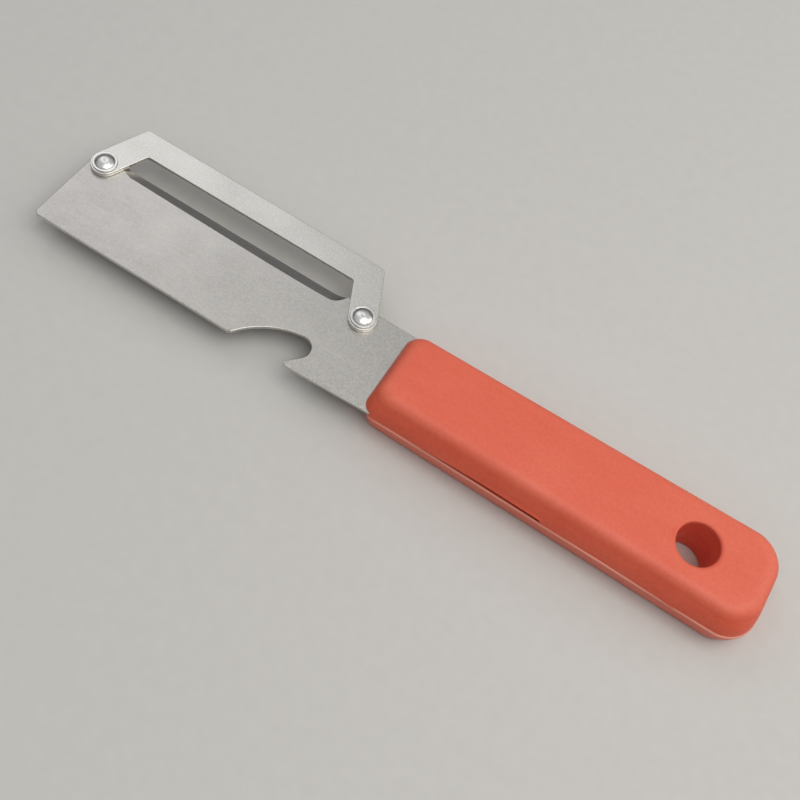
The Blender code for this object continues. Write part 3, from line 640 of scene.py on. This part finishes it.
def rivet_profile(s):
    """Half section of a rivet as rows of (radius, height, painted shade), top to bottom. The dome
    is a flattened superellipse with a cosine dimple at its crown, the brim is a soft flat ring
    behind a narrow groove, and the tail is a low cap."""
    low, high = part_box("rivet_front")
    brim_radius = (high.x - low.x) / 2
    brim_low = GUARD_BOX[1].z + LAY_GAP
    brim_top = brim_low + s.brim_height
    t = np.sin(np.linspace(0, math.pi / 2, 44))
    dome_r = s.dome_radius * t
    dome_z = brim_top + s.dome_height * (1 - t ** 2.6) ** 0.95
    near = np.clip(dome_r / s.dimple_radius, 0, 1)
    dome_z = dome_z - s.dimple_depth * (1 + np.cos(math.pi * near)) / 2
    dome_z[-1] = brim_top - GROOVE_DEPTH
    turn = np.linspace(0, 1, 9)[1:]
    groove_r = s.dome_radius + GROOVE_WIDTH * turn
    groove_z = brim_top - GROOVE_DEPTH * np.cos(turn * math.pi / 2) ** 2
    edge = np.radians(np.linspace(90, 0, 8))
    edge_r = brim_radius - BRIM_ROUND + BRIM_ROUND * np.cos(edge)
    edge_z = brim_top - BRIM_ROUND + BRIM_ROUND * np.sin(edge)
    tail_top = BLADE_BOX[0].z - LAY_GAP
    drop = tail_top - low.z
    u = np.linspace(0, 1, 18) * math.pi / 2
    tail_r = s.tail_radius * np.cos(u)
    tail_z = tail_top - 0.2 * drop - 0.8 * drop * np.sin(u) ** 1.3
    radius = np.concatenate([dome_r, groove_r, edge_r, [
        brim_radius, SHANK_RADIUS, SHANK_RADIUS, s.tail_radius - TAIL_ROUND, s.tail_radius],
        tail_r])
    height = np.concatenate([dome_z, groove_z, edge_z, [
        brim_low, brim_low, tail_top, tail_top, tail_top - TAIL_ROUND], tail_z])
    wear = np.zeros(len(radius))
    # The rows round the dome's foot and its groove are marked for painted shade.
    wear[len(dome_r) - 4:len(dome_r) + 4] = 1.0
    return radius, height, wear


def turned(name, radius, height, wear, centre, columns=96):
    """Profile of (radius, height) rows turned about a vertical axis, closed by a pole at the top
    and one at the bottom: x = radius * cos(angle), y = radius * sin(angle)."""
    angle = np.linspace(0, 2 * math.pi, columns, endpoint=False)
    r, z = radius[1:-1, None], height[1:-1, None]
    ring = np.stack(np.broadcast_arrays(centre.x + r * np.cos(angle), centre.y + r * np.sin(angle),
                                        z), -1).reshape(-1, 3)
    rows = len(radius) - 2
    poles = [(centre.x, centre.y, height[0]), (centre.x, centre.y, height[-1])]
    here, beside = np.arange(columns), (np.arange(columns) + 1) % columns
    top = np.stack([np.full(columns, len(ring)), here, beside], -1)
    last = (rows - 1) * columns
    bottom = np.stack([np.full(columns, len(ring) + 1), last + beside, last + here], -1)
    weights = np.concatenate([np.repeat(wear[1:-1], columns), wear[[0, -1]]])
    return build_mesh(name, np.concatenate([ring, poles]),
                      [grid_faces(rows, columns), top, bottom], weights)


class PEELER_OT_rivets(bpy.types.Operator):
    """Builds the two domed rivets that hold the guard"""
    bl_idname = "peeler.rivets"
    bl_label = "Rivets"

    def execute(self, context):
        s = context.scene.peeling_knife.rivet
        finish = bright_steel(s.steel)
        radius, height, wear = rivet_profile(s)
        for place, centre in (("front", FRONT_RIVET), ("rear", REAR_RIVET)):
            mesh = turned(f"domed_rivet_{place}", radius, height, wear, centre)
            add_piece(mesh, finish, "rivet_steel", f"rivet_{place}")
        return {"FINISHED"}


# --- Handle -----------------------------------------------------------------------------------
SEAM_GAP = 0.01 * MM        # each shell ends this far from the seam
SIDE_BULGE = 0.10 * MM      # the sides bulge by this much at half height
TUBE_WALL = 1.8 * MM        # wall of the tube round the hole
SINK_STATIONS, SINK_RADIUS = (14.0, 38.0, 62.0), 3.4    # sink marks over the pegs, in mm
RIM_REACH = 1.7 * MM        # height over which a change of the seam fades into the side
LIP_ROWS = slice(34, 37)    # rows of the profile that make the flat rim, but for its inner edge
# In millimetres: the mouth for the tang, with the slopes of its rear end and its sides, the slit's
# abrupt rear end, and a short break in the ledge.
MOUTH_DEPTH, MOUTH_EASE, MOUTH_SIDE_EASE, SLIT_EASE = 5.0, 0.6, 0.25, 0.5
BREAK_X, BREAK_LENGTH = 81.5, 1.6


def bezier(first, middle, last, t):
    """Quadratic curve between two values, drawn to a middle one."""
    return (1 - t) ** 2 * first + 2 * t * (1 - t) * middle + t ** 2 * last


def handle_rings(s, side, end, shrink):
    """Rows of the handle's plan outline, with its sides moved in by side, its ends by end and its
    corner radii made smaller by shrink, all arrays over the rows."""
    x_front, x_rear = LOWER_BOX[0].x + end, LOWER_BOX[1].x - end
    half_rear = (LOWER_BOX[1].y - LOWER_BOX[0].y) / 2
    front, rear = s.half_front - side, half_rear - side
    r_front = np.maximum(s.front_radius - shrink, 0.7 * MM)
    r_rear = np.maximum(s.rear_radius - shrink, 1.5 * MM)
    corners = np.stack([np.stack([x_rear, HANDLE_Y - rear, r_rear], -1),
                        np.stack([x_rear, HANDLE_Y + rear, r_rear], -1),
                        np.stack([x_front, HANDLE_Y + front, r_front], -1),
                        np.stack([x_front, HANDLE_Y - front, r_front], -1)], 1)
    return rounded_rings(corners, [26, 26, 20, 20], [even(22), even(200), even(34), even(200)])


def shell_profile(s, upward, tall):
    """Rows of a shell's side, from the far face down to the rim and up inside to the ceiling, as
    (side inset, end inset, corner shrink, height, painted light): a painted highlight along the far
    edge's rounding and the rim, and painted bounce light on the lower side.

    The far edge follows a quadratic curve, the side leans and bulges by a half sine, the rim is
    rounded by a quarter circle, and the inside leans as the side does."""
    # The rims are painted paler, a painted highlight, and the lower side too, painted bounce light
    # from the floor.
    side_in, end_in, crease, rim_round, side_bounce_light, rim_highlight = (
        (s.upper_side_inset, s.upper_end_inset, s.upper_crease, 0.12 * MM, 0.0, 0.25) if upward
        else (s.lower_side_inset, s.lower_end_inset, s.lower_crease, 0.34 * MM, 0.28, 0.9))
    t = np.linspace(0, 1, 16)
    lean_side, lean_end = side_in * (1 - crease / tall), end_in * (1 - crease / tall)
    # The far edge's rounding is painted paler than the far face, a painted highlight along the
    # crease.
    far_edge = [bezier(side_in + crease, side_in, lean_side, t),
                bezier(end_in + 1.6 * crease, end_in, lean_end, t),
                bezier(crease, 0, 0, t), bezier(tall, tall, tall - crease, t),
                FACE_PALING * (1 - t) + FACE_PALING * np.sin(math.pi * t)]
    drop = np.linspace(0, 1, 13)[1:]
    foot = SEAM_GAP + rim_round
    bulge = SIDE_BULGE * np.sin(math.pi * drop)
    side = [lean_side * (1 - drop) - bulge, lean_end * (1 - drop) - bulge, 0 * drop,
            (tall - crease) * (1 - drop) + foot * drop, np.where(drop < 1, side_bounce_light, rim_highlight)]
    turn = np.radians(np.linspace(0, 90, 7)[1:])
    inwards = rim_round * (1 - np.cos(turn))
    rim = [inwards, inwards, 0 * turn, foot - rim_round * np.sin(turn), 0 * turn + rim_highlight]
    wall = np.linspace(rim_round, s.wall, 5)[1:]
    lip = [wall, wall, wall, SEAM_GAP + 0 * wall, 0 * wall]
    up = np.array([0.12, 0.5, 0.8, 0.95, 1.0])
    ceiling = tall - s.wall
    lean = up * ceiling / tall
    inside = [s.wall + side_in * lean, s.wall + end_in * lean, s.wall + 0 * up,
              SEAM_GAP + (ceiling - SEAM_GAP) * up, 0 * up]
    return np.concatenate([np.stack(part, -1) for part in (far_edge, side, rim, lip, inside)])


def shell_mesh(s, name, upward):
    """One shell of the handle as a closed profile carried round the hanging hole.

    It climbs the hole's wall from the seam, rounds its rim, crosses the far face, which is a blend
    from the hole's circle to the outline, follows the side's profile, and returns along the
    ceiling and the tube round the hole. Heights are measured from the seam to the far face."""
    box = UPPER_BOX if upward else LOWER_BOX
    tall = box[1].z - SEAM_Z if upward else SEAM_Z - box[0].z
    ceiling = tall - s.wall
    profile = shell_profile(s, upward, tall)
    rings, normals = handle_rings(s, profile[:, 0], profile[:, 1], profile[:, 2])
    hole = np.array([LOWER_BOX[1].x - s.hole_setback, HANDLE_Y])
    angle = np.arctan2(*(rings[0] - hole).T[::-1])
    spoke = np.stack([np.cos(angle), np.sin(angle)], -1)
    r, turn = s.hole_rounding, np.radians(np.linspace(0, 90, 8))[1:]
    bore_r = np.concatenate([np.full(8, s.hole_radius), s.hole_radius + r - r * np.cos(turn)])
    bore_z = np.concatenate([[SEAM_GAP], np.linspace(SEAM_GAP + 0.03 * MM, tall - r, 7),
                             tall - r + r * np.sin(turn)])
    tube_r = s.hole_radius + np.array([TUBE_WALL, TUBE_WALL, TUBE_WALL, 0.03 * MM])
    tube_z = [ceiling, ceiling / 2, SEAM_GAP, SEAM_GAP]
    bore, tube = (hole + spoke * radii[:, None, None] for radii in (bore_r, tube_r))
    across = np.linspace(0, 1, 60)[1:-1, None, None]
    face = bore[-1] * (1 - across) + rings[0] * across
    inside = np.linspace(0, 1, 10)[1:-1, None, None]
    roof = rings[-1] * (1 - inside) + tube[0] * inside
    flat = np.concatenate([bore, face, rings, roof, tube])
    rows, columns = flat.shape[:2]
    rise = np.concatenate([bore_z, np.full(len(face), tall), profile[:, 3],
                           np.full(len(roof), ceiling), tube_z])
    # Paler round the hole's rounded rim and over the far face; the side rows carry the profile's
    # painted highlight and painted bounce light.
    wear = np.concatenate([np.zeros(7), 0.15 * np.sin(np.linspace(0, math.pi, 8)),
                           np.full(len(face), FACE_PALING), profile[:, 4],
                           np.zeros(len(roof) + len(tube))])
    height = np.repeat(rise[:, None], columns, axis=1)
    outer = slice(len(bore) + len(face), len(bore) + len(face) + len(rings))
    outward = np.zeros_like(flat)
    outward[outer] = normals

    x, y = (flat[..., 0] - LOWER_BOX[0].x) / MM, abs(flat[..., 1] - HANDLE_Y) / MM
    at_rim = np.zeros_like(height)
    at_rim[outer] = np.clip(1 - (height[outer] - SEAM_GAP) / RIM_REACH, 0, 1)
    mouth = (np.clip((s.mouth_half / MM - y) / MOUTH_SIDE_EASE, 0, 1)
             * np.clip((MOUTH_DEPTH - x) / MOUTH_EASE, 0, 1))
    lift = mouth * ((BLADE_BOX[1].z - BLADE_BOX[0].z) / 2 - SEAM_GAP + LAY_GAP)
    # The slit opens from nothing over the first third of its run, then widens to its rear end.
    run = (x - s.slit_start / MM) / ((s.slit_end - s.slit_start) / MM)
    slit = np.clip(run / 0.35, 0, 1) * (0.45 + 0.55 * np.clip(run, 0, 1))
    slit = slit * np.clip((s.slit_end / MM - x) / SLIT_EASE, 0, 1) * (y > 6)
    dip = s.seam_dip * np.exp(-x / 14) * np.clip((y - 9) / 3, 0, 1) * at_rim
    if upward:
        for station in SINK_STATIONS:
            near = ((x - station) ** 2 + y ** 2) / SINK_RADIUS ** 2
            height = height - s.sink_depth * np.exp(-near) * (height > tall - 0.01 * MM)
        # The ledge's width wanders along the handle, breaks once, and is narrow at the front.
        wave = (0.85 + 0.25 * np.sin(x * 0.21 + 0.6)
                - 0.5 * np.exp(-((x - BREAK_X) / BREAK_LENGTH) ** 2))
        wave = wave * (0.25 + 0.75 * np.clip((x - 1.0) / 10, 0, 1))
        fade = np.clip(1 - (height - SEAM_GAP) / (3.0 * MM), 0, 1) ** 1.5
        # A thin lip stands out just over the rim.
        lip = 0.06 * MM * np.exp(-((height - SEAM_GAP - 0.35 * MM) / (0.22 * MM)) ** 2)
        flat = flat + outward * (lip - s.ledge * wave * fade)[..., None]
        height = height + np.maximum(lift, slit * s.slit_height) * at_rim - dip
    else:
        height[outer][LIP_ROWS] += slit[outer][LIP_ROWS] * s.slit_groove
        height = height + lift * at_rim + dip
    z = SEAM_Z + height if upward else SEAM_Z - height
    points = np.concatenate([flat, z[..., None]], -1).reshape(-1, 3)
    faces = grid_faces(rows, columns, closed_rows=True)
    return build_mesh(name, points, [faces if upward else faces[:, ::-1]],
                      np.repeat(wear, columns))


class PEELER_OT_handle(bpy.types.Operator):
    """Builds the upper and the lower shell of the handle"""
    bl_idname = "peeler.handle"
    bl_label = "Handle"

    def execute(self, context):
        s = context.scene.peeling_knife.handle
        finish = moulded_plastic(s.plastic, s.plastic_pale)
        for name, node, upward in (("upper_shell", "handle_upper_shell", True),
                                   ("lower_shell", "handle_lower_shell", False)):
            add_piece(shell_mesh(s, name, upward), finish, "handle_plastic", node)
        return {"FINISHED"}


# --- Stage ------------------------------------------------------------------------------------
FLOOR_HALF = 3.0            # half width of the floor, in metres
# Lights: name, place, the point it faces, width and depth, all in metres, and colour.
LIGHTS = (("key", (0.31, -0.06, 0.75), (0.31, -0.06, 0.0), (0.70, 0.60), "FFFDF9"),
          ("side", (0.60, 0.36, 0.38), (0.0, 0.0, 0.0), (0.60, 0.60), "FFFBF4"),
          ("fill", (-0.40, 0.31, 0.56), (0.0, 0.0, 0.0), (0.45, 0.30), "FBFBFF"))
LOW_SKY, SKY_START, SKY_FULL = "5C5C5E", 0.26, 0.66     # dark low sky, and where it brightens
# Camera: its right, up and backward directions, its place in metres, and its lens.
CAMERA_AXES = ((0.84819, 0.50990, 0.14349), (-0.51598, 0.73407, 0.44147),
               (0.11978, -0.44849, 0.88573))
CAMERA_PLACE = (0.033935, -0.12749, 0.24096)
FOCAL_LENGTH, SENSOR_WIDTH = 51.26, 36.0                # millimetres


def placed(axes, place):
    """Matrix of an object with these three axes, at this place."""
    return Matrix([(*(axis[k] for axis in axes), place[k]) for k in range(3)] + [(0, 0, 0, 1)])


def area_light(name, place, target, size, power, tint):
    """Rectangular soft light that faces a point."""
    light = bpy.data.lights.new(name, "AREA")
    light.shape = "RECTANGLE"
    light.size, light.size_y = size
    light.energy = power
    light.color = tint[:3]
    holder = bpy.data.objects.new(name, light)
    back = unit(np.array(place) - np.array(target))
    side = unit(np.cross((0, 1, 0), back))
    holder.matrix_world = placed((side, np.cross(back, side), back), place)
    bpy.context.scene.collection.objects.link(holder)


class PEELER_OT_stage(bpy.types.Operator):
    """Builds the floor, the soft studio light and the camera"""
    bl_idname = "peeler.stage"
    bl_label = "Stage"

    def execute(self, context):
        s = context.scene.peeling_knife.stage
        scene = context.scene
        corners = [(x * FLOOR_HALF, y * FLOOR_HALF, 0)
                   for x, y in ((-1, -1), (1, -1), (1, 1), (-1, 1))]
        mesh = build_mesh("floor", corners, [np.array([[0, 1, 2, 3]])])
        mesh.materials.append(matte_floor(s.floor))
        floor = bpy.data.objects.new("floor", mesh)
        scene.collection.objects.link(floor)

        for name, place, target, size, tint in LIGHTS:
            area_light(name, place, target, size, getattr(s, name + "_power"), linear(tint))
        world = bpy.data.worlds.new("soft_studio")
        world.use_nodes = True
        tree = world.node_tree
        tree.nodes.clear()
        ray = add_node(tree, "TexCoord", {}, "Generated")
        rise = add_node(tree, "SeparateXYZ", {0: ray}, "Z")
        level = add_node(tree, "MapRange", {0: rise, 1: SKY_START, 2: SKY_FULL})
        tone = layered(tree, linear(LOW_SKY), (level, 1.0, tuple(s.sky)))
        back = add_node(tree, "Background", {"Color": tone, "Strength": s.sky_strength})
        add_node(tree, "OutputWorld", {"Surface": back})
        scene.world = world

        lens = bpy.data.cameras.new("camera")
        lens.sensor_width, lens.lens = SENSOR_WIDTH, FOCAL_LENGTH
        lens.clip_start, lens.clip_end = 0.01, 20.0
        camera = bpy.data.objects.new("camera", lens)
        camera.matrix_world = placed(CAMERA_AXES, CAMERA_PLACE)
        scene.collection.objects.link(camera)
        scene.camera = camera
        # The colours above are the ones to be seen, so they pass through unchanged.
        scene.view_settings.view_transform = "Standard"
        return {"FINISHED"}


# --- Panel and registration -------------------------------------------------------------------
class PEELER_PT_panel(bpy.types.Panel):
    """Lists the steps that build the peeling knife"""
    bl_label = "Peeling knife"
    bl_idname = "PEELER_PT_panel"
    bl_space_type = "VIEW_3D"
    bl_region_type = "UI"
    bl_category = "Peeling knife"

    def draw(self, context):
        for step in STEPS:
            self.layout.operator(step.bl_idname)


STEPS = (PEELER_OT_blade, PEELER_OT_guard, PEELER_OT_rivets, PEELER_OT_handle, PEELER_OT_stage)
CLASSES = (BladeSettings, GuardSettings, RivetSettings, HandleSettings, StageSettings,
           KnifeSettings, *STEPS, PEELER_PT_panel)


def register():
    for made in CLASSES:
        bpy.utils.register_class(made)
    bpy.types.Scene.peeling_knife = PointerProperty(type=KnifeSettings)


def unregister():
    del bpy.types.Scene.peeling_knife
    for made in reversed(CLASSES):
        bpy.utils.unregister_class(made)


def main():
    """Builds every piece and the stage."""
    register()
    bpy.ops.peeler.blade()
    bpy.ops.peeler.guard()
    bpy.ops.peeler.rivets()
    bpy.ops.peeler.handle()
    bpy.ops.peeler.stage()


if __name__ == "__main__":
    main()
